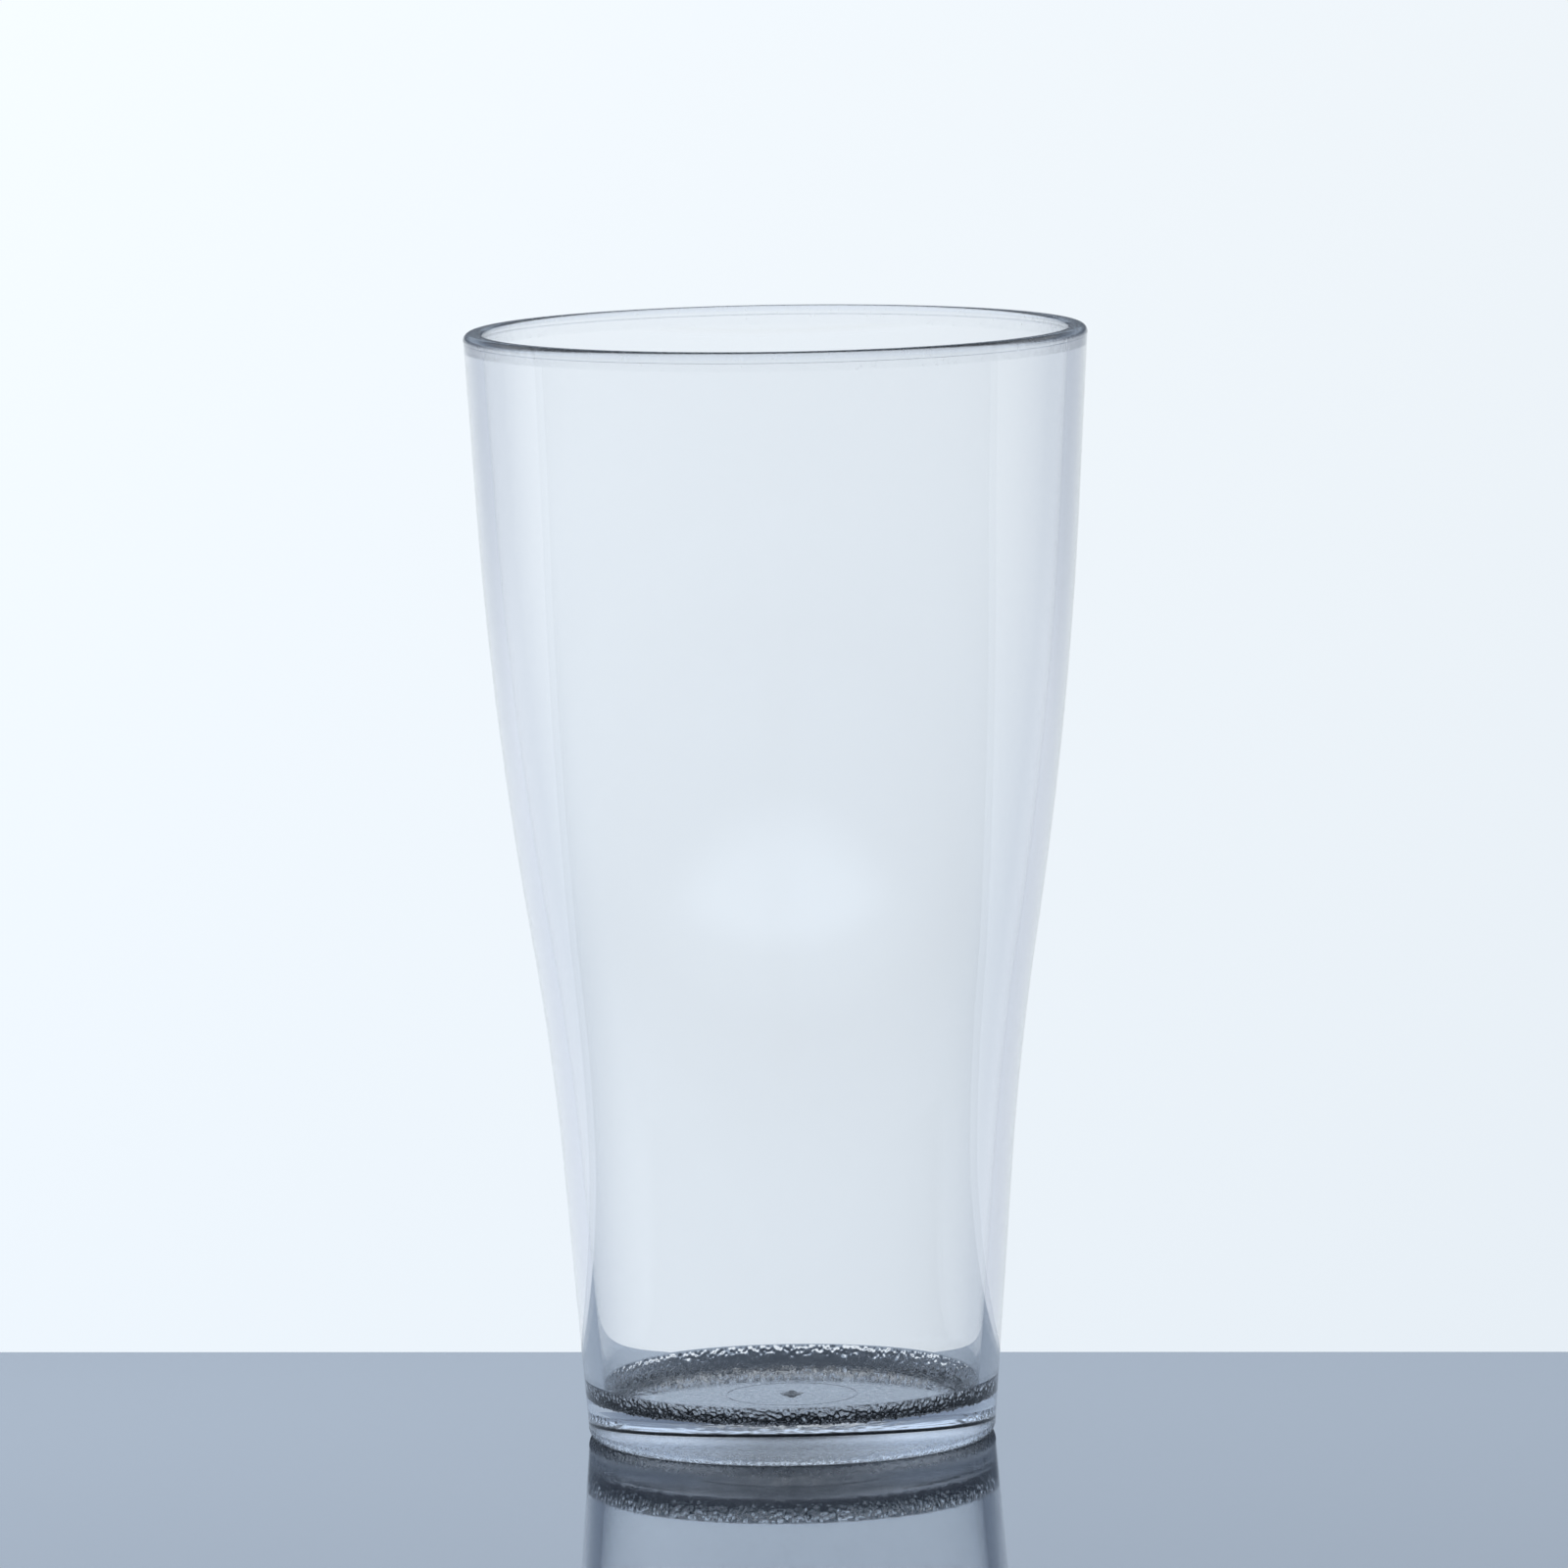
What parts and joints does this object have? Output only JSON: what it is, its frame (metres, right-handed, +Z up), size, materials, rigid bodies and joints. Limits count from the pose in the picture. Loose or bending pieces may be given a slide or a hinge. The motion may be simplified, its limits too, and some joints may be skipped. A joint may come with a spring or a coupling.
{
  "type": "pint tumbler",
  "caption": "Clear tulip-shaped pint tumbler: a straight lower cone flares into a wide, straight upper wall with a full-round lip, over a thick base with a textured underside.",
  "frame": {"origin": "centre of the foot, on the surface the tumbler stands on", "axes": "+Z up along the tumbler's axis of revolution; X and Y lie in the table, and every direction round the axis is the same"},
  "size_m": [0.088, 0.088, 0.1574],
  "materials": {
    "clear_plastic": "polished"
  },
  "bodies": {
    "root": {"tumbler": "clear_plastic"}
  },
  "joints": []
}
